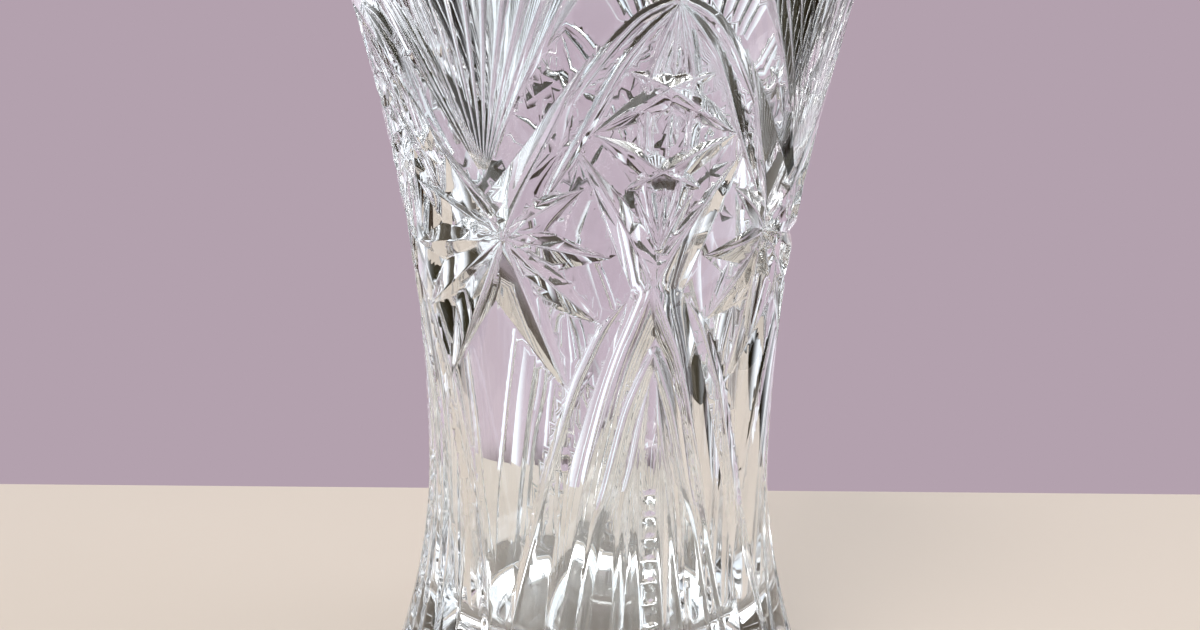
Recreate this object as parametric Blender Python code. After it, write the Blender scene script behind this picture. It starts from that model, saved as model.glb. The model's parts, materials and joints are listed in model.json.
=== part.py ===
"""Cut-crystal flower vase: one heavy piece of clear glass, turned on +Z, with wheel-cut decoration.

Units are metres. The origin is the centre of the foot's resting plane, +Z is up.
Angles on the wall are degrees round the axis, counted from -Y towards +X. The pattern has four equal
quarters: a panel with a hob star at 0 degrees, and a large star under a fan at 45 degrees. Each quarter
is its own mirror image, so a cut is given once and repeated by turning and mirroring.
"""

import math

import bmesh
import bpy
from mathutils import Matrix, Vector

MM = 0.001

# Driving dimensions of the blank
HEIGHT = 205 * MM
RIM_RADIUS = 69 * MM
WAIST_RADIUS = 44.2 * MM
WAIST_HEIGHT = 66.7 * MM
FOOT_RADIUS = 56.5 * MM
FOOT_EDGE = 3 * MM
FOOT_BEVEL = 1.2 * MM
WALL = 9 * MM
RIM_WALL = 6.5 * MM
BASE_THICKNESS = 18 * MM
BOWL_ROUND = 14 * MM
RECESS_RADIUS = 40 * MM
RECESS_DEPTH = 2 * MM
FLARE_POWER = 1.95
FOOT_POWER = 2.0

# The rim is a wave, with one low stretch over each panel
SCALLOP_DROP = 6 * MM

# The cut pattern. Its heights are drawn in millimetres on a blank of this height, with this waist,
# and on_blank() stretches the drawing to the blank that is made.
DRAWN_HEIGHT = 205.0
DRAWN_WAIST = 66.7
QUARTERS = 4
STAR_ANGLE = 45.0
STAR_LEVEL = 124.7
STAR_DEPTH = 4.6 * MM
STAR_SPREAD = 1.95
DIMPLE_RADIUS = 1.3 * MM
DIMPLE_EXTRA = 0.3 * MM
FAN_LEVEL = 139.0
FLUTE_COUNT = 11
FLUTE_STEP = 4.4
FLUTE_STEP_LEVEL = 175.0
FLUTE_SPREAD = 1.35
ARCH_DEPTH = 1.0 * MM
SKIRT_LINE_DEPTH = 1.1 * MM
KITE_DEPTH = 1.9 * MM
THIN_SPREAD = 1.5
KITE_SPREAD = 1.8
BROAD_DEPTH = 2.2 * MM
BROAD_SPREAD = 1.6
RUN_OUT = -0.3 * MM

# Fineness of the solid
BLANK_STEPS = 48
CLEARANCE = 3.0 * MM


def outer_radius(height):
    """Radius of the uncut wall: flared up to the rim and down to the foot from a narrow waist."""
    if height >= WAIST_HEIGHT:
        share = (height - WAIST_HEIGHT) / (HEIGHT - WAIST_HEIGHT)
        return WAIST_RADIUS + (RIM_RADIUS - WAIST_RADIUS) * share ** FLARE_POWER
    share = min(1.0, (WAIST_HEIGHT - height) / (WAIST_HEIGHT - FOOT_EDGE))
    return WAIST_RADIUS + (FOOT_RADIUS - WAIST_RADIUS) * share ** FOOT_POWER


def on_blank(level):
    """The real height of a level of the drawing."""
    if level >= DRAWN_WAIST:
        share = (level - DRAWN_WAIST) / (DRAWN_HEIGHT - DRAWN_WAIST)
        return WAIST_HEIGHT + (HEIGHT - WAIST_HEIGHT) * share
    return WAIST_HEIGHT * level / DRAWN_WAIST


def inner_radius(height):
    """Radius of the hollow: straight below the waist, then a wall's thickness inside the flare."""
    if height <= WAIST_HEIGHT:
        return WAIST_RADIUS - WALL
    share = (height - WAIST_HEIGHT) / (HEIGHT - WAIST_HEIGHT)
    return outer_radius(height) - WALL + (WALL - RIM_WALL) * share


def blank_profile():
    """The half section of the blank, from the axis under the foot round to the axis in the bowl."""
    points = [(0.0, RECESS_DEPTH), (RECESS_RADIUS - RECESS_DEPTH, RECESS_DEPTH), (RECESS_RADIUS, 0.0)]
    points += [(FOOT_RADIUS - FOOT_BEVEL, 0.0), (FOOT_RADIUS, FOOT_BEVEL)]
    foot_rows = 4
    for row in range(foot_rows):
        height = FOOT_EDGE + (WAIST_HEIGHT - FOOT_EDGE) * row / foot_rows
        points.append((outer_radius(height), height))
    flare_rows = 7
    for row in range(flare_rows + 1):
        height = WAIST_HEIGHT + (HEIGHT - WAIST_HEIGHT) * row / flare_rows
        points.append((outer_radius(height), height))
    hollow_rows = 5
    for row in range(hollow_rows + 1):
        height = HEIGHT - (HEIGHT - WAIST_HEIGHT) * row / hollow_rows
        points.append((inner_radius(height), height))
    round_steps = 3
    centre_radius = inner_radius(0.0) - BOWL_ROUND
    for step in range(round_steps + 1):
        turn = math.radians(90 * step / round_steps)
        radius = centre_radius + BOWL_ROUND * math.cos(turn)
        height = BASE_THICKNESS + BOWL_ROUND * (1 - math.sin(turn))
        points.append((radius, height))
    points.append((0.0, BASE_THICKNESS))
    return points


def rim_drop(angle):
    """How far the rim lies below its highest points, which are over the fans."""
    wave = 0.5 + 0.5 * math.cos(math.radians(QUARTERS * angle))
    return SCALLOP_DROP * wave


def lower_vert(vert, share):
    """Slide a point of the upper wall down along the wall, most at the rim."""
    radius = vert.co.xy.length
    outside = radius > (outer_radius(vert.co.z) + inner_radius(vert.co.z)) / 2
    angle = math.atan2(vert.co.x, -vert.co.y)
    vert.co.z -= rim_drop(math.degrees(angle)) * share ** 3
    radius = outer_radius(vert.co.z) if outside else inner_radius(vert.co.z)
    vert.co.xy = (radius * math.sin(angle), -radius * math.cos(angle))


def make_blank():
    """Turn the half section and lower the rim between the fans."""
    mesh = bmesh.new()
    section = [mesh.verts.new((0.0, -radius, height)) for radius, height in blank_profile()]
    edges = [mesh.edges.new(pair) for pair in zip(section, section[1:])]
    bmesh.ops.spin(mesh, geom=section + edges, cent=(0, 0, 0), axis=(0, 0, 1),
                   angle=math.tau, steps=BLANK_STEPS, use_merge=True)
    bmesh.ops.remove_doubles(mesh, verts=mesh.verts, dist=1e-6)
    for vert in mesh.verts:
        share = (vert.co.z - WAIST_HEIGHT) / (HEIGHT - WAIST_HEIGHT)
        if share > 0:
            lower_vert(vert, share)
    bmesh.ops.recalc_face_normals(mesh, faces=mesh.faces)
    blank = bpy.data.meshes.new("vase_body")
    mesh.to_mesh(blank)
    mesh.free()
    blank.shade_smooth()
    blank.set_sharp_from_angle(angle=math.radians(12))
    vase = bpy.data.objects.new("vase_body", blank)
    bpy.context.collection.objects.link(vase)
    return vase


def wall_point(angle, height, lift):
    """A point that lies lift outside the uncut wall, and the wall's outward direction there."""
    step = 0.5 * MM
    slope = (outer_radius(height + step) - outer_radius(height - step)) / (2 * step)
    turn = math.radians(angle)
    outward = Vector((math.sin(turn), -math.cos(turn), -slope)).normalized()
    radius = outer_radius(height)
    point = Vector((radius * math.sin(turn), -radius * math.cos(turn), height))
    return point + outward * lift, outward


def smooth_path(points, count):
    """A Catmull-Rom curve through the points, as count + 1 stations."""
    padded = [points[0]] + list(points) + [points[-1]]
    spans = len(points) - 1
    path = []
    for index in range(count + 1):
        place = spans * index / count
        span = min(int(place), spans - 1)
        t = place - span
        a, b, c, d = (Vector(p) for p in padded[span:span + 4])
        path.append(0.5 * (2 * b + (c - a) * t + (2 * a - 5 * b + 4 * c - d) * t * t
                           + (3 * b - a - 3 * c + d) * t ** 3))
    return path


def groove_mesh(name, stations, spread):
    """A closed wedge that cuts a V groove. Each station is angle, height and depth of the keel."""
    mesh = bmesh.new()
    centres = [wall_point(angle, height, 0)[0] for angle, height, depth in stations]
    rings = []
    for index, (angle, height, depth) in enumerate(stations):
        before = centres[max(index - 1, 0)]
        after = centres[min(index + 1, len(centres) - 1)]
        point, outward = wall_point(angle, height, 0)
        side = (after - before).cross(outward).normalized()
        half_width = (depth + CLEARANCE) * spread
        keel = point - outward * depth
        top = point + outward * CLEARANCE
        corners = (keel, top + side * half_width, top - side * half_width)
        rings.append([mesh.verts.new(corner) for corner in corners])
    for ring, following in zip(rings, rings[1:]):
        for corner in range(3):
            after = (corner + 1) % 3
            mesh.faces.new((ring[corner], ring[after], following[after], following[corner]))
    mesh.faces.new(rings[0])
    mesh.faces.new(rings[-1])
    bmesh.ops.recalc_face_normals(mesh, faces=mesh.faces)
    data = bpy.data.meshes.new(name)
    mesh.to_mesh(data)
    mesh.free()
    return data


def add_cutter(data, turn, cutters):
    """Place one cutter, turned round the axis."""
    cutter = bpy.data.objects.new(data.name, data)
    cutter.rotation_euler = (0, 0, math.radians(turn))
    cutter.display_type = "WIRE"
    cutter.hide_render = True
    cutters.objects.link(cutter)


def cut_groove(name, points, depths, spread, count, cutters):
    """Cut one groove in every quarter, and its mirror image. Points are angle and drawn level."""
    path = smooth_path(points, count)
    keel = smooth_path([(depth, 0.0) for depth in depths], count)
    for side in (1, -1):
        stations = [(side * place.x, on_blank(place.y), depth.x) for place, depth in zip(path, keel)]
        data = groove_mesh(name, stations, spread)
        for quarter in range(QUARTERS):
            add_cutter(data, 360 / QUARTERS * quarter, cutters)


def cut_star(cutters):
    """The large star: V rays that are deepest where they cross, and run out to points on the wall."""
    ray_tips = {
        "star_ray_down": (23.5, 90.5),
        "star_ray_low": (14.0, 107.0),
        "star_ray_side": (12.4, 122.4),
        "star_ray_high": (19.2, 137.5),
    }
    for name, (tip_angle, tip_level) in ray_tips.items():
        reach = (tip_angle - STAR_ANGLE, tip_level - STAR_LEVEL)
        points = []
        depths = []
        for share in (-0.04, 1.12):
            points.append((STAR_ANGLE + reach[0] * share, STAR_LEVEL + reach[1] * share))
            depths.append(STAR_DEPTH * (1 - max(share, 0)))
        cut_groove(name, points, depths, STAR_SPREAD, 3, cutters)


def cut_star_centre(cutters):
    """A small flat-bottomed dimple where the rays cross, so that their keels end on clean edges."""
    depth = STAR_DEPTH + DIMPLE_EXTRA + CLEARANCE
    mesh = bmesh.new()
    bmesh.ops.create_cone(mesh, cap_ends=True, segments=12, depth=depth,
                          radius1=DIMPLE_RADIUS, radius2=DIMPLE_RADIUS)
    data = bpy.data.meshes.new("star_centre")
    mesh.to_mesh(data)
    mesh.free()
    point, outward = wall_point(STAR_ANGLE, on_blank(STAR_LEVEL), CLEARANCE - depth / 2)
    data.transform(outward.to_track_quat("Z", "Y").to_matrix().to_4x4())
    data.transform(Matrix.Translation(point))
    for quarter in range(QUARTERS):
        add_cutter(data, 360 / QUARTERS * quarter, cutters)


def cut_star_rise(cutters):
    """The star's steep rays, which curve up along the sides of the fan."""
    points = [(45.5, 124), (37.0, 135), (29.2, 145.3), (23.2, 155.3), (17.4, 165.2), (16.2, 167.2)]
    depths = [STAR_DEPTH * share for share in (1.0, 0.63, 0.43, 0.24, 0.0, -0.09)]
    cut_groove("star_ray_rise", points, depths, STAR_SPREAD, 5, cutters)


def cut_fan(cutters):
    """The fan: flutes side by side, which start at one point and spread evenly up to the rim."""
    last = FLUTE_COUNT // 2
    first_level = FAN_LEVEL + 8
    last_level = DRAWN_HEIGHT + 7
    rows = 3
    for number in range(-last, last + 1):
        stations = []
        for row in range(rows + 1):
            level = first_level + (last_level - first_level) * row / rows
            share = (level - FAN_LEVEL) / (FLUTE_STEP_LEVEL - FAN_LEVEL)
            height = on_blank(level)
            half_width = math.radians(FLUTE_STEP) / 2 * share * outer_radius(height)
            angle = STAR_ANGLE + number * FLUTE_STEP * share
            stations.append((angle, height, half_width / FLUTE_SPREAD))
        data = groove_mesh("fan_flute", stations, FLUTE_SPREAD)
        for quarter in range(QUARTERS):
            add_cutter(data, 360 / QUARTERS * quarter, cutters)


def cut_mitres(cutters):
    """The long curved mitres: two arches over the panel, the kite below it, and the skirt's edge."""
    arch = [ARCH_DEPTH, ARCH_DEPTH, ARCH_DEPTH, RUN_OUT]
    cut_groove("outer_arch", [(-1.6, 177.6), (8, 172), (18.4, 160.7), (27, 149)],
               arch, THIN_SPREAD, 5, cutters)
    cut_groove("inner_arch", [(-0.8, 174.6), (9.6, 165), (18.8, 150), (28, 136.5)],
               arch, THIN_SPREAD, 5, cutters)
    cut_groove("kite_bar", [(21.5, 146), (9.8, 129), (-3, 111)],
               [RUN_OUT, KITE_DEPTH, KITE_DEPTH], KITE_SPREAD, 3, cutters)
    line = SKIRT_LINE_DEPTH
    cut_groove("skirt_line", [(5.5, 115.5), (14, 107), (23.3, 90.7), (29.5, 75), (36, 53), (43.5, 8)],
               [RUN_OUT, line, line, line, line, RUN_OUT], THIN_SPREAD, 7, cutters)


def cut_skirt(cutters):
    """The broad grooves that fan out below the crossing and fade out above the foot's edge."""
    deep = BROAD_DEPTH
    cut_groove("skirt_groove_outer",
               [(-1.0, 117), (8.3, 100), (14.6, 84), (20.8, 65), (25.5, 40), (28.0, 8)],
               [deep * 0.7, deep * 0.9, deep, deep, deep * 0.9, RUN_OUT], BROAD_SPREAD, 6, cutters)
    cut_groove("skirt_groove_middle", [(-0.6, 102), (8, 84), (13, 68), (19.5, 42), (21.5, 10)],
               [deep * 0.3, deep * 0.75, deep * 0.8, deep * 0.8, RUN_OUT], BROAD_SPREAD, 5, cutters)
    cut_groove("skirt_groove_inner", [(0.5, 96), (5, 74), (8.5, 58), (10.5, 8)],
               [RUN_OUT, deep * 0.6, deep * 0.6, RUN_OUT], BROAD_SPREAD, 4, cutters)


def glass_material():
    """Clear lead crystal, polished all over."""
    material = bpy.data.materials.new("lead_crystal")
    material.use_nodes = True
    shader = material.node_tree.nodes["Principled BSDF"]
    shader.inputs["Base Color"].default_value = (0.94, 0.96, 0.96, 1)
    shader.inputs["Roughness"].default_value = 0.02
    shader.inputs["Metallic"].default_value = 0.0
    shader.inputs["IOR"].default_value = 1.545
    shader.inputs["Transmission Weight"].default_value = 1.0
    return material


def main():
    for old in list(bpy.data.objects):
        bpy.data.objects.remove(old, do_unlink=True)
    vase = make_blank()
    vase.data.materials.append(glass_material())
    cutters = bpy.data.collections.new("cutters")
    bpy.context.scene.collection.children.link(cutters)
    cut_star(cutters)
    cut_star_centre(cutters)
    cut_star_rise(cutters)
    cut_fan(cutters)
    cut_mitres(cutters)
    cut_skirt(cutters)
    cutting = vase.modifiers.new("wheel_cuts", "BOOLEAN")
    cutting.operation = "DIFFERENCE"
    cutting.solver = "EXACT"
    cutting.operand_type = "COLLECTION"
    cutting.collection = cutters


main()
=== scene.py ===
# %% [markdown]
# # A cut-crystal flower vase
# The real vase is one heavy piece of lead crystal. A blank is blown or pressed into a mould, and the
# pattern is ground into its outside with wheels: V-edged wheels make mitres, which are long grooves with
# two flat sides, and every motif is made of them. Stars are mitres that cross, and a fan is a row of
# mitres side by side. This script follows the same order: it turns a smooth blank, makes one wedge for
# each groove, cuts them all away at once, and polishes the result into clear glass.

# %% Load the frame
import json
import math

import bmesh
import bpy
from mathutils import Matrix, Vector

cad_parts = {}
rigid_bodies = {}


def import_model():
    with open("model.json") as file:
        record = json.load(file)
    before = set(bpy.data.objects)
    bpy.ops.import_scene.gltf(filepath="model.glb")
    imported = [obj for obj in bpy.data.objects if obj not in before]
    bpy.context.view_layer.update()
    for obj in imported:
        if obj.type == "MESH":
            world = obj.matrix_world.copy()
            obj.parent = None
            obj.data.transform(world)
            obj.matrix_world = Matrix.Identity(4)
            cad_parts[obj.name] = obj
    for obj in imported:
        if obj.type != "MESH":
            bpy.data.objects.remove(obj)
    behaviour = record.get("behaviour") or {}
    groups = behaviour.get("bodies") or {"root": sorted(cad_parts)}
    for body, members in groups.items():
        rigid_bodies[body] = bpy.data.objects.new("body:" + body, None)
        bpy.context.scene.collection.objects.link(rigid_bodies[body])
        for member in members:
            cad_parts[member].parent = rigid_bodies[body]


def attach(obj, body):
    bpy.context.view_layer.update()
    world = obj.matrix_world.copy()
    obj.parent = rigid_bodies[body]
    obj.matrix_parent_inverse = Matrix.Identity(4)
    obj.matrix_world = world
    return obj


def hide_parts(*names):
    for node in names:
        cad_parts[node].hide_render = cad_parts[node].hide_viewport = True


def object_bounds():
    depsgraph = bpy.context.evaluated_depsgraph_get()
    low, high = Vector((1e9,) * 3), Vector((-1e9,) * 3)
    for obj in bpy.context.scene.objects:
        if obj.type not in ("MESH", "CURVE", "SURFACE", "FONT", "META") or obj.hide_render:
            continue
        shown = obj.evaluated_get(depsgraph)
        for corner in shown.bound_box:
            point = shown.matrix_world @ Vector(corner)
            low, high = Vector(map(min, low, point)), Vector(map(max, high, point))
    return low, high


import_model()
cad_low, cad_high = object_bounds()
print("box of the frame in mm:", [round(side * 1000, 1) for side in cad_high - cad_low])

# %% [markdown]
# Every size below is drawn in millimetres on a vase 205 mm high, and `MM` turns such a drawn millimetre
# into metres on the vase in the frame. If the frame grows, the whole pattern grows with it.

# %% Drawing units
DRAWN_HEIGHT = 205.0
MM = (cad_high.z - cad_low.z) / DRAWN_HEIGHT
print("one drawn millimetre is", round(MM * 1000, 4), "mm")

# %% [markdown]
# ## The camera
# The eye is about 0.3 m from the vase, level with its upper part and looking slightly down, so that the
# middle of the wall fills the view. It looks from a little to the left of one panel, so the panel is right
# of the middle, with a star on either side. The camera is made first, because it decides which cuts need
# the most care.

# %% Camera
EYE_HEIGHT = 160.0
EYE_DISTANCE = 304.0
PANEL_TURN = math.radians(15.4)
LOOK_DOWN = math.radians(11.06)
TILT = math.radians(0.5)
FOCAL_LENGTH, SENSOR_WIDTH = 36.06, 36

lens = bpy.data.cameras.new("camera")
lens.lens = FOCAL_LENGTH
lens.sensor_width = SENSOR_WIDTH
camera = bpy.data.objects.new("camera", lens)
eye = Vector((-math.sin(PANEL_TURN) * EYE_DISTANCE,
              -math.cos(PANEL_TURN) * EYE_DISTANCE, EYE_HEIGHT)) * MM
facing = Matrix.Rotation(-PANEL_TURN, 4, "Z") @ Matrix.Rotation(math.pi / 2 - LOOK_DOWN, 4, "X")
camera.matrix_world = Matrix.Translation(eye) @ facing @ Matrix.Rotation(TILT, 4, "Z")
bpy.context.collection.objects.link(camera)
bpy.context.scene.camera = camera
print("eye at", [round(part, 3) for part in eye])

# %% [markdown]
# ## The blank
# The outside is two smooth curves that meet at the waist: one flares up to the rim, the other down to the
# foot. The wall is thick, about 9 mm, because the deepest cuts take away half of it, and the base is
# thicker still. A spin of the half section makes it, as a lathe or a mould would.

# %% Section of the blank
WAIST = 66.7
RIM_RADIUS, WAIST_RADIUS, FOOT_RADIUS = 69.0, 44.2, 56.5
FOOT_EDGE = 3.0
FLARE_BEND, FOOT_BEND = 1.95, 2
WALL, RIM_WALL, BASE, BOWL_ROUND = 9.0, 6.5, 18.0, 14
RECESS_RADIUS, RECESS_DEPTH = 40.0, 2.0
FOOT_ROUND, RIM_BEVEL, LIP_DROP = 1.6, 0.8, 1.2


def outer_radius(level):
    """Radius of the uncut outside at a level, all in drawn millimetres."""
    if level >= WAIST:
        share = (level - WAIST) / (DRAWN_HEIGHT - WAIST)
        return WAIST_RADIUS + (RIM_RADIUS - WAIST_RADIUS) * share ** FLARE_BEND
    share = min(1.0, (WAIST - level) / (WAIST - FOOT_EDGE))
    return WAIST_RADIUS + (FOOT_RADIUS - WAIST_RADIUS) * share ** FOOT_BEND


def inner_radius(level):
    """Radius of the hollow: straight below the waist, then a wall's thickness inside the flare."""
    if level <= WAIST:
        return WAIST_RADIUS - WALL
    share = (level - WAIST) / (DRAWN_HEIGHT - WAIST)
    return outer_radius(level) - WALL + (WALL - RIM_WALL) * share


def quarter_round(centre, radius, start, steps):
    """Points on a quarter of a circle, counter-clockwise from the start angle in degrees."""
    turns = [math.radians(start + 90 * step / steps) for step in range(steps + 1)]
    return [(centre[0] + radius * math.cos(turn), centre[1] + radius * math.sin(turn)) for turn in turns]


# %% [markdown]
# The half section runs from the axis under the foot, over the ring that the vase stands on, up the outside,
# over the lip and down the hollow to the axis again. Spun once round the axis it is a closed body.

# %% Turn the blank
FOOT_ROWS, FLARE_ROWS, HOLLOW_ROWS, TURN_STEPS = 22, 46, 30, 192


def blank_section():
    """The half section, from the axis under the foot, up the outside, and down the hollow."""
    section = [(0, RECESS_DEPTH)]
    section += [(RECESS_RADIUS - 3, RECESS_DEPTH), (RECESS_RADIUS - 1, 1.2), (RECESS_RADIUS, 0)]
    section += quarter_round((FOOT_RADIUS - FOOT_ROUND, FOOT_ROUND), FOOT_ROUND, -90, 4)
    section += [(outer_radius(level), level) for level in
                (FOOT_EDGE + (WAIST - FOOT_EDGE) * row / FOOT_ROWS for row in range(FOOT_ROWS))]
    flare = DRAWN_HEIGHT - RIM_BEVEL - WAIST
    section += [(outer_radius(level), level) for level in
                (WAIST + flare * row / FLARE_ROWS for row in range(FLARE_ROWS + 1))]
    section += [(outer_radius(DRAWN_HEIGHT) - RIM_BEVEL, DRAWN_HEIGHT)]
    lip = inner_radius(DRAWN_HEIGHT - LIP_DROP)
    section += [(lip + 1.6, DRAWN_HEIGHT), (lip + 0.6, DRAWN_HEIGHT - 0.35)]
    section += [(inner_radius(level), level) for level in
                (DRAWN_HEIGHT - LIP_DROP - (flare - 0.4) * row / HOLLOW_ROWS
                 for row in range(HOLLOW_ROWS + 1))]
    bowl = quarter_round((inner_radius(0) - BOWL_ROUND, BASE + BOWL_ROUND), BOWL_ROUND, -90, 8)
    section += list(reversed(bowl))
    section += [(0, BASE)]
    return section


blank = bmesh.new()
points = [blank.verts.new((0, -radius, level)) for radius, level in blank_section()]
edges = [blank.edges.new(pair) for pair in zip(points, points[1:])]
bmesh.ops.spin(blank, geom=points + edges, cent=(0, 0, 0), axis=(0, 0, 1),
               angle=math.tau, steps=TURN_STEPS, use_merge=True)
bmesh.ops.remove_doubles(blank, verts=blank.verts, dist=1e-3)
bmesh.ops.recalc_face_normals(blank, faces=blank.faces)
print("blank:", len(blank.faces), "faces, volume", round(blank.calc_volume() / 1000), "ml")

# %% [markdown]
# The rim isn't level. It stands highest over the four fans and dips over the four panels between them.
# The dip slides the wall's points down along the wall's own curve, so that the flare keeps its shape.

# %% Wave of the rim
SCALLOP = 6.0  # how far the rim dips over each panel

for vert in blank.verts:
    level = vert.co.z
    share = (level - WAIST) / (DRAWN_HEIGHT - WAIST)
    if share > 0:
        turn = math.atan2(vert.co.x, -vert.co.y)
        dip = SCALLOP * (0.5 + 0.5 * math.cos(4 * turn)) * share ** 3
        radius = vert.co.xy.length
        outside = radius > (outer_radius(level) + inner_radius(level)) / 2
        wall = outer_radius if outside else inner_radius
        radius += wall(level - dip) - wall(level)
        vert.co = (radius * math.sin(turn), -radius * math.cos(turn), level - dip)

vase_mesh = bpy.data.meshes.new("crystal_vase")
blank.to_mesh(vase_mesh)
blank.free()
vase_mesh.shade_smooth()
vase = bpy.data.objects.new("crystal_vase", vase_mesh)
bpy.context.collection.objects.link(vase)
print("the rim dips", SCALLOP, "mm over each panel")

# %% [markdown]
# ## One mitre
# A mitre wheel leaves a groove with two flat sides that meet in a keel. Here a groove is a wedge: a
# triangle with one corner on the keel, under the surface, and two corners clear outside it, extruded from
# station to station along a curve on the wall. A station is an angle from the panel's middle, a level and
# a depth. Where the depth falls to nothing the keel rises out of the wall and the groove ends in a point,
# as it does when the wheel is lifted. `spread` is half the groove's width over its depth.

# %% Wedge along a curve
CLEAR = 1.6  # how far a wedge stands clear of the wall
HOLLOW = 0.08  # how far a groove's sides sag, as a share of its depth
ROUNDED = 0.4  # width of the strips that the polish rounds
THINNEST = 0.04  # depth of the wedge where its keel is out of the wall
wedges = bpy.data.collections.new("wedges")
bpy.context.scene.collection.children.link(wedges)
print("a groove's rounded strips are", ROUNDED, "mm wide")


def wall_frame(turn, level):
    """A point on the uncut wall in drawn millimetres, and the outward direction there."""
    slope = outer_radius(level + 0.5) - outer_radius(level - 0.5)
    angle = math.radians(turn)
    outward = Vector((math.sin(angle), -math.cos(angle), -slope)).normalized()
    radius = outer_radius(level)
    return Vector((radius * math.sin(angle), -radius * math.cos(angle), level)), outward


def smooth_curve(points, steps):
    """Catmull-Rom stations through points of any number of coordinates."""
    padded = [Vector(point) for point in (points[0], *points, points[-1])]
    spans = len(points) - 1
    stations = []
    for step in range(steps + 1):
        span = min(int(spans * step / steps), spans - 1)
        t = spans * step / steps - span
        a, b, c, d = padded[span:span + 4]
        stations.append(0.5 * (2 * b + (c - a) * t + (2 * a - 5 * b + 4 * c - d) * t ** 2
                               + (3 * b - a - 3 * c + d) * t ** 3))
    return stations


def groove_section(depth, spread):
    """Corners of a groove's section as (across, out), from the keel up one side, over, and down the other.

    The sides are a little hollow, and narrow strips along the keel and the edge let the polish round them.
    """
    sunk = max(depth, THINNEST)
    strip = min(0.28, ROUNDED / (sunk * spread))
    side = []
    for share in (0.0, strip, 0.36, 0.64, 1 - strip, 1.0):
        hollow = HOLLOW * sunk * math.sin(math.pi * share)
        side.append((sunk * spread * share, sunk * share - depth - hollow))
    side.append(((sunk + CLEAR) * spread, sunk + CLEAR - depth))
    return side + [(-across, out) for across, out in reversed(side[1:])]


def wedge_mesh(name, stations, spread):
    """Extrude the section through the stations, each (turn, level, depth)."""
    spots = [wall_frame(turn, level) for turn, level, depth in stations]
    form = bmesh.new()
    end = None
    for index, (spot, outward) in enumerate(spots):
        ahead = spots[min(index + 1, len(spots) - 1)][0] - spots[max(index - 1, 0)][0]
        side = ahead.cross(outward).normalized()
        section = groove_section(stations[index][2], spread)
        corners = [spot + side * across + outward * out for across, out in section]
        if end is None:
            ring = [form.verts.new(corner) for corner in corners]
            end = form.faces.new(ring)
            continue
        grown = bmesh.ops.extrude_face_region(form, geom=[end])["geom"]
        # The first face stays as the wedge's near end, and each later one would be a wall inside it.
        if index > 1:
            form.faces.remove(end)
        fresh = [part for part in grown if isinstance(part, bmesh.types.BMVert)]
        ring = [min(fresh, key=lambda vert: (vert.co - old.co).length) for old in ring]
        for vert, corner in zip(ring, corners):
            vert.co = corner
        end = next(part for part in grown if isinstance(part, bmesh.types.BMFace))
    bmesh.ops.recalc_face_normals(form, faces=form.faces)
    # On a long, thin wedge the outward side can be guessed wrong, and an inside-out wedge spoils the cut.
    if form.calc_volume(signed=True) < 0:
        bmesh.ops.reverse_faces(form, faces=form.faces)
    mesh = bpy.data.meshes.new(name)
    form.to_mesh(mesh)
    form.free()
    mesh.shade_smooth()
    return mesh


def place_wedge(mesh, turn=0.0):
    """One cutting object, turned round the axis by degrees."""
    wedge = bpy.data.objects.new(mesh.name, mesh)
    wedge.rotation_euler.z = math.radians(turn)
    wedges.objects.link(wedge)


def cut(name, points, spread, steps=12, mirror=True):
    """Cut a groove through points of (turn, level, depth) in all four quarters, and its mirror image."""
    stations = smooth_curve(points, steps)
    for side in (1, -1) if mirror else (1,):
        mesh = wedge_mesh(name, [(side * turn, level, depth) for turn, level, depth in stations], spread)
        for quarter in range(4):
            place_wedge(mesh, 90 * quarter)


# %% [markdown]
# ## The star
# Ten mitres meet in the middle of each large star and run out to points. They are deepest where they
# meet, so neighbours eat into each other there: each ray starts narrow, is widest halfway, where its
# sides leave its neighbours', and ends in a point. Nothing has to draw that kite shape, because it comes
# from the meeting.

# %% Star rays
STAR_TURN, STAR_LEVEL, STAR_DEPTH = 45.0, 124.7, 4.7
RAY_SPREAD = 1.95
RAY_TIPS = {"ray_down": (23.5, 90.5), "ray_low": (14.0, 107.0), "ray_side": (12.4, 122.4),
            "ray_high": (19.2, 137.5)}

for name, (turn, level) in RAY_TIPS.items():
    ray = []
    for share in (-0.04, 0.0, 0.35, 0.7, 1.0, 1.1):
        depth = STAR_DEPTH * (1 - max(share, 0))
        ray.append((STAR_TURN + (turn - STAR_TURN) * share, STAR_LEVEL + (level - STAR_LEVEL) * share, depth))
    cut(name, ray, RAY_SPREAD, 14)

cut("ray_rise", [(45.5, 124.0, 4.7), (37.0, 135.0, 2.9), (29.2, 145.3, 2.0), (23.2, 155.3, 1.1),
                 (17.4, 165.2, 0.0), (16.2, 167.2, -0.4)], RAY_SPREAD, 20)

# %% [markdown]
# ## The fan
# Eleven flutes start together above each star and spread up to the rim. They lie side by side, so only
# the sharp ridges between them are left of the old surface, and the ridges end as teeth on the rim.

# %% Fan flutes
FAN_LEVEL, FLUTES, FLUTE_SPREAD = 139.0, 11, 1.35
FLUTE_STEP, FLUTE_STEP_LEVEL = 4.4, 175.0  # the flutes are this many degrees apart at this level

for number in range(-(FLUTES // 2), FLUTES // 2 + 1):
    flute = []
    for row in range(15):
        level = FAN_LEVEL + 2 + 5 * row
        share = (level - FAN_LEVEL) / (FLUTE_STEP_LEVEL - FAN_LEVEL)
        half_width = math.radians(FLUTE_STEP / 2) * share * outer_radius(level)
        flute.append((STAR_TURN + number * FLUTE_STEP * share, level, half_width / FLUTE_SPREAD))
    mesh = wedge_mesh("flute", flute, FLUTE_SPREAD)
    for quarter in range(4):
        place_wedge(mesh, 90 * quarter)
print("flutes in the four fans:", 4 * FLUTES)

# %% [markdown]
# ## Arches and panel
# Two thin mitres curve from the sides of each star up to a point over the panel, and a short fan of five
# rays hangs from that point.

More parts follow.
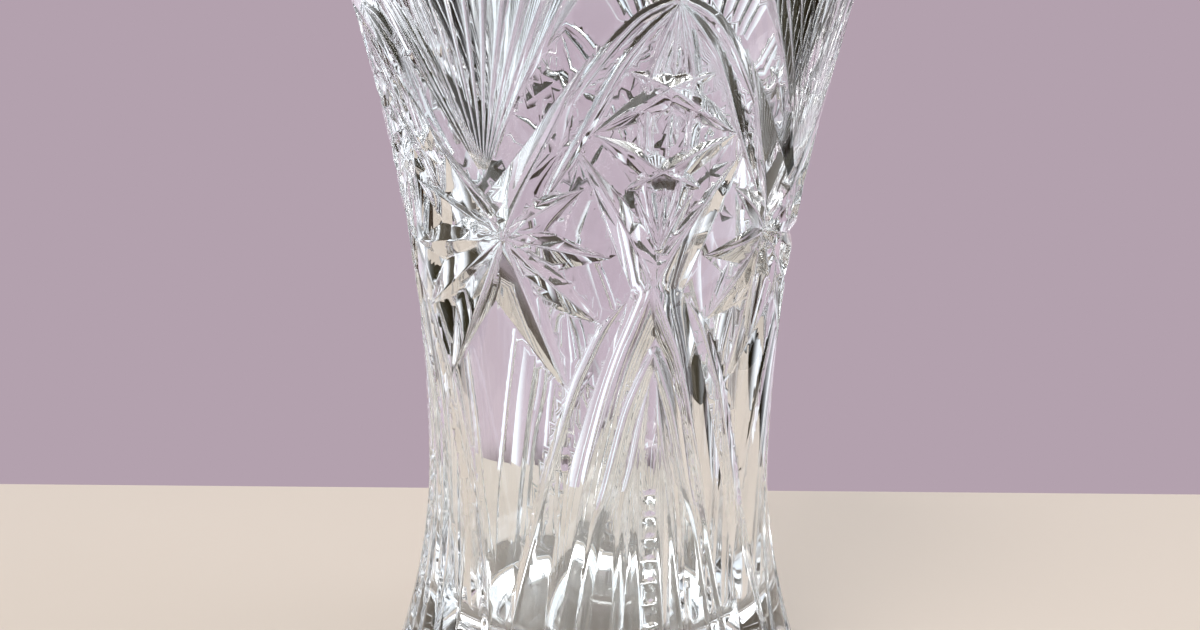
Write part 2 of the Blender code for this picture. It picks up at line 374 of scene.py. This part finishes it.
# %% Arches
cut("outer_arch", [(-1.0, 176.2, 1.0), (8, 172, 1.2), (18.4, 160.7, 1.2), (26, 150, 0.6), (28, 147.2, -0.3)],
    1.25, 20)
cut("inner_arch", [(-1.0, 176.0, 1.0), (9.6, 165, 1.2), (18.8, 150, 1.2), (27, 138, 0.6), (29, 135, -0.3)],
    1.25, 20)
for turn, level in ((0, 158.5), (3.2, 157.5), (6.2, 156.5)):
    cut("apex_ray", [(-turn * 0.05, 176.0, 1.3), (turn * 0.6, 166, 0.9), (turn, level, -0.2)], 1.4, 6,
        mirror=turn > 0)

# %% [markdown]
# Inside the arches is the hob star: two bowed mitres cross four straight ones, and leave a small raised
# lozenge, the hob, in the middle. Five short rays rise to it from the point where the bowed mitres meet.

# %% Hob star
cut("bowed_mitre", [(-0.8, 177, 1.0), (2.2, 168, 1.0), (4.6, 161, 1.1), (5.5, 150, 1.1), (4.2, 137, 1.1),
                    (2.3, 130.5, 1.0), (-0.9, 122.0, 0.8)], 1.65, 22)
cut("upper_mitre", [(19, 148.3, -0.3), (9, 153.2, 1.5), (0, 158, 1.8), (-6, 160.3, 1.0), (-11, 162.2, -0.3)],
    1.7, 16)
cut("lower_mitre", [(19, 149.7, -0.3), (9, 145.0, 1.5), (0, 140.5, 1.8), (-6, 138.6, 1.0),
                    (-11, 137.0, -0.3)], 1.7, 16)
cut("hob_line", [(0, 158, -0.2), (0, 152, 0.5), (0, 147, 0.5), (0, 141, -0.2)], 1.3, 6, mirror=False)
for turn, level in ((0, 141), (4.2, 139.5), (8.2, 137.8)):
    cut("foot_ray", [(-turn * 0.05, 123.5, 1.3), (turn * 0.5, 131, 0.9), (turn, level, -0.2)], 1.4, 6,
        mirror=turn > 0)

# %% [markdown]
# ## The kite and the skirt
# Two deep mitres fall from the sides of the panel, cross under it, and sweep on down to the foot. Thinner
# ones follow them on both sides, and together they look like gathered cloth. Between the skirts the wall
# is left clear and smooth.

# %% Skirt mitres
cut("kite_and_skirt", [(-21.5, 147.0, -0.3), (-19.7, 144.2, 0.2), (-9.8, 129.5, 2.1), (0, 114.8, 3.2),
                       (5.0, 106, 2.7), (8.3, 100, 2.4), (11.8, 92, 2.4), (14.6, 84, 2.5), (20.8, 65, 2.6),
                       (25.5, 40, 2.4), (28.0, 14, 0.9), (28.6, 6, -0.3)], 1.75, 44)
cut("skirt_edge", [(5.8, 115.3, -0.3), (14, 107, 0.9), (19.5, 98, 1.1), (23.3, 90.7, 1.1), (29.5, 75, 1.1),
                   (33.5, 63, 1.1), (40, 39, 1.0), (43.7, 14, 0.5), (44.3, 6, -0.3)], 1.2, 30)
cut("skirt_inner", [(-0.8, 102, 0.8), (5, 91, 1.6), (8, 84, 1.7), (13, 68, 1.8), (17, 58, 1.8),
                    (19.5, 42, 1.7), (21.5, 16, 0.7), (22, 8, -0.3)], 1.3, 26)
cut("skirt_core", [(0.6, 96, -0.2), (3, 84, 1.0), (5, 74, 1.3), (7.5, 64, 1.4), (9.5, 42, 1.3),
                   (11.5, 16, 0.6), (12, 8, -0.3)], 1.25, 20)

# %% [markdown]
# ## The beaded prism
# Down the middle of each skirt runs a ridge between two upright mitres. Short level mitres cross it about
# every 5 mm, and turn the ridge into a row of beads.

# %% Beads
BEAD_PITCH, BEADS = 5.2, 11

cut("prism_side", [(3.0, 84, -0.2), (3.6, 74, 1.2), (3.6, 40, 1.3), (3.8, 16, 0.8), (4.0, 7, -0.3)], 1.4, 10)
for number in range(BEADS):
    level = WAIST - BEAD_PITCH * number
    cut("bead", [(-4.6, level, 0.2), (0, level, 1.3), (4.6, level, 0.2)], 1.5, 4, mirror=False)

# %% [markdown]
# ## Cutting
# A Boolean takes all the wedges out of the blank together. Blender's Manifold solver is used, because it
# handles hundreds of overlapping wedges in seconds and keeps the result closed. Where ten rays cross, it
# also leaves some slivers thinner than a hair that touch nothing, so only what hangs together with the
# foot is kept. Up to here one Blender unit has been one drawn millimetre, which keeps the smallest facets
# well above the solver's rounding, so the result is brought down to its real size afterwards.

# %% Cut the pattern
cutting = vase.modifiers.new("wheel cuts", "BOOLEAN")
cutting.operation = "DIFFERENCE"
cutting.operand_type = "COLLECTION"
cutting.collection = wedges
cutting.solver = "MANIFOLD"
graph = bpy.context.evaluated_depsgraph_get()
cut_mesh = bpy.data.meshes.new_from_object(vase.evaluated_get(graph), depsgraph=graph)
vase.modifiers.clear()
for wedge in list(wedges.objects):
    bpy.data.objects.remove(wedge)
bpy.data.collections.remove(wedges)

whole = bmesh.new()
whole.from_mesh(cut_mesh)
foot = min(whole.verts, key=lambda vert: vert.co.z)
kept, to_visit = {foot}, [foot]
while to_visit:
    for edge in to_visit.pop().link_edges:
        for vert in edge.verts:
            if vert not in kept:
                kept.add(vert)
                to_visit.append(vert)
slivers = [vert for vert in whole.verts if vert not in kept]
bmesh.ops.delete(whole, geom=slivers, context="VERTS")
bmesh.ops.scale(whole, vec=(MM, MM, MM), verts=whole.verts)
whole.to_mesh(cut_mesh)
print("cut vase:", len(whole.faces), "faces,", len(slivers), "loose points removed,",
      sum(not edge.is_manifold for edge in whole.edges), "open edges")
whole.free()

# %% [markdown]
# Acid polish leaves the wide facets flat and rounds only their narrow borders. Weighted normals do the
# same to the shading: wide faces keep their own direction, and the strips between them bend to meet it.

# %% Polish
cut_mesh.shade_smooth()
vase.data = cut_mesh
polish = vase.modifiers.new("polish", "WEIGHTED_NORMAL")
polish.mode = "FACE_AREA"
polish.weight = 50
print("polish: normals weighted by", polish.mode)

# %% [markdown]
# ## Crystal
# Lead crystal with 24 per cent lead oxide bends light more than window glass: its index is about 1.545.
# It is colourless, and the cuts are polished in acid, so the surface is as clear as the blank's.

# %% Crystal material
def linear(hex_colour):
    """A hex sRGB colour as linear RGBA."""
    parts = [int(hex_colour[place:place + 2], 16) / 255 for place in (1, 3, 5)]
    return [part / 12.92 if part <= 0.04045 else ((part + 0.055) / 1.055) ** 2.4
            for part in parts] + [1.0]


def add_node(tree, kind, inputs=None, stops=(), **settings):
    """Add a node, with values or links for its inputs, and (place, colour) stops if it is a ramp."""
    node = tree.nodes.new(kind)
    for name, value in settings.items():
        setattr(node, name, value)
    for name, value in (inputs or {}).items():
        if isinstance(value, bpy.types.NodeSocket):
            tree.links.new(value, node.inputs[name])
        else:
            node.inputs[name].default_value = value
    for index, (place, colour) in enumerate(stops):
        elements = node.color_ramp.elements
        stop = elements[index] if index < 2 else elements.new(place)
        stop.position, stop.color = place, linear(colour)
        node.color_ramp.interpolation = "EASE"
    return node


crystal = bpy.data.materials.new("polished_lead_crystal")
crystal.use_nodes = True
glass = crystal.node_tree.nodes["Principled BSDF"]
glass.inputs["Base Color"].default_value = linear("#fbfdfd")
glass.inputs["Transmission Weight"].default_value = 1.0
glass.inputs["IOR"].default_value = 1.545
glass.inputs["Roughness"].default_value = 0.0
vase.data.materials.clear()
vase.data.materials.append(crystal)
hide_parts("vase_body")
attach(vase, "root")
print("crystal: index", round(glass.inputs["IOR"].default_value, 3))

# %% [markdown]
# ## Floor and light
# Glass has no look of its own and shows what is round it, so the studio is plain but not even: a pale
# floor, three soft lamps, and a sky with pale windows, dark gaps between them and a bright ceiling. Every
# facet finds a light or a dark part of it, and that is what makes the cuts stand out. The part of the sky
# that is seen directly is one plain colour, like a painted wall.

# %% Floor
FLOOR_HALF, FLOOR_THICK = 0.155, 0.02

floor_form = bmesh.new()
bmesh.ops.create_cube(floor_form, size=1)
bmesh.ops.scale(floor_form, vec=(4 * FLOOR_HALF, 2 * FLOOR_HALF, FLOOR_THICK), verts=floor_form.verts)
bmesh.ops.bevel(floor_form, geom=floor_form.edges, offset=0.002, segments=3, profile=0.5,
                affect="EDGES", material=-1)
floor_mesh = bpy.data.meshes.new("floor")
floor_form.to_mesh(floor_mesh)
floor_form.free()
floor_mesh.shade_smooth()
floor_mesh.set_sharp_from_angle(angle=math.radians(40))
floor = bpy.data.objects.new("floor", floor_mesh)
floor.location.z = cad_low.z - FLOOR_THICK / 2 - 0.0002
floor.rotation_euler.z = -PANEL_TURN
bpy.context.collection.objects.link(floor)
pale = bpy.data.materials.new("pale_floor")
pale.use_nodes = True
paint = pale.node_tree.nodes["Principled BSDF"]
paint.inputs["Base Color"].default_value = linear("#d3c5b8")
paint.inputs["Roughness"].default_value = 0.55
floor_mesh.materials.append(pale)
print("floor: a painted board", 2 * FLOOR_HALF, "m deep")

# %% [markdown]
# The lamps are suns with a wide angle, which act like large soft boxes far away. The sky is painted by
# direction with three ramps: one goes round the walls, one goes from floor to ceiling, and the third
# chooses the first near eye level and the second elsewhere. It shines more on the glass than it shows
# directly, as a bright room behind the viewer does.

# %% Lamps and sky
def soft_sun(name, turn, rise, strength, width, colour):
    """A far, wide lamp, so that the light is the same all over. Angles are in degrees."""
    light = bpy.data.lights.new(name, "SUN")
    light.energy = strength
    light.angle = math.radians(width)
    light.color = linear(colour)[:3]
    lamp = bpy.data.objects.new(name, light)
    lamp.rotation_euler = (math.radians(90 - rise), 0, math.radians(turn))
    bpy.context.collection.objects.link(lamp)


soft_sun("key", -50, 50, 1.0, 26, "#fff8f0")
soft_sun("fill", 70, 35, 0.45, 30, "#eaf1ff")
soft_sun("back", 165, 48, 0.7, 22, "#ffffff")

sky = bpy.data.worlds.new("studio")
sky.use_nodes = True
bpy.context.scene.world = sky
tree = sky.node_tree
WALL_COLOUR = "#b3a1ae"
direction = add_node(tree, "ShaderNodeTexCoord").outputs["Generated"]
turned = add_node(tree, "ShaderNodeMapping", {0: direction, "Rotation": (0, 0, PANEL_TURN)}).outputs[0]
parts = add_node(tree, "ShaderNodeSeparateXYZ", {0: turned})
rise = add_node(tree, "ShaderNodeMath", {0: parts.outputs["Z"], 1: 0.5, 2: 0.5},
                operation="MULTIPLY_ADD").outputs[0]
bearing = add_node(tree, "ShaderNodeMath", {0: parts.outputs["X"], 1: parts.outputs["Y"]},
                   operation="ARCTAN2")
share = add_node(tree, "ShaderNodeMath", {0: bearing.outputs[0], 1: 1 / math.tau, 2: 0.5},
                 operation="MULTIPLY_ADD")
ROUND_WALL = ((0.0, "#9b8f96"), (0.06, "#9b8f96"), (0.10, "#f4f7fb"), (0.19, "#f4f7fb"),
              (0.23, "#120e08"), (0.33, "#2a2616"), (0.37, "#f4f8ff"), (0.40, "#f4f8ff"),
              (0.43, WALL_COLOUR), (0.57, WALL_COLOUR), (0.60, "#f4f8ff"), (0.63, "#120e08"),
              (0.72, "#2a2616"), (0.78, "#f4f8ff"), (0.89, "#f4f8ff"), (0.93, "#5a4f46"),
              (1.0, "#9b8f96"))
UP_AND_DOWN = ((0.0, "#15100b"), (0.30, "#2b1d14"), (0.36, "#000000"), (0.54, "#000000"),
               (0.60, "#30291c"), (0.78, "#1d1a14"), (0.84, "#dfe8f2"), (1.0, "#ffffff"))
LEVEL_PART = ((0.29, "#000000"), (0.34, "#ffffff"), (0.54, "#ffffff"), (0.58, "#000000"))
round_wall = add_node(tree, "ShaderNodeValToRGB", {0: share.outputs[0]}, ROUND_WALL).outputs["Color"]
up_and_down = add_node(tree, "ShaderNodeValToRGB", {0: rise}, UP_AND_DOWN).outputs["Color"]
level_part = add_node(tree, "ShaderNodeValToRGB", {0: rise}, LEVEL_PART).outputs["Color"]
around = add_node(tree, "ShaderNodeMix", {0: level_part, 6: up_and_down, 7: round_wall}, data_type="RGBA")
seen = add_node(tree, "ShaderNodeLightPath").outputs["Is Camera Ray"]
shown = add_node(tree, "ShaderNodeMix", {0: seen, 6: around.outputs[2], 7: linear(WALL_COLOUR)},
                 data_type="RGBA")
backdrop = tree.nodes["Background"]
tree.links.new(shown.outputs[2], backdrop.inputs["Color"])
SHINE, SHOWN = 1.4, 1.0
shine = add_node(tree, "ShaderNodeMix", {0: seen, 2: SHINE, 3: SHOWN})
tree.links.new(shine.outputs[0], backdrop.inputs["Strength"])

scene = bpy.context.scene
scene.cycles.max_bounces = 32
scene.cycles.transmission_bounces = 28
scene.cycles.glossy_bounces = 12
scene.view_settings.view_transform = "Standard"
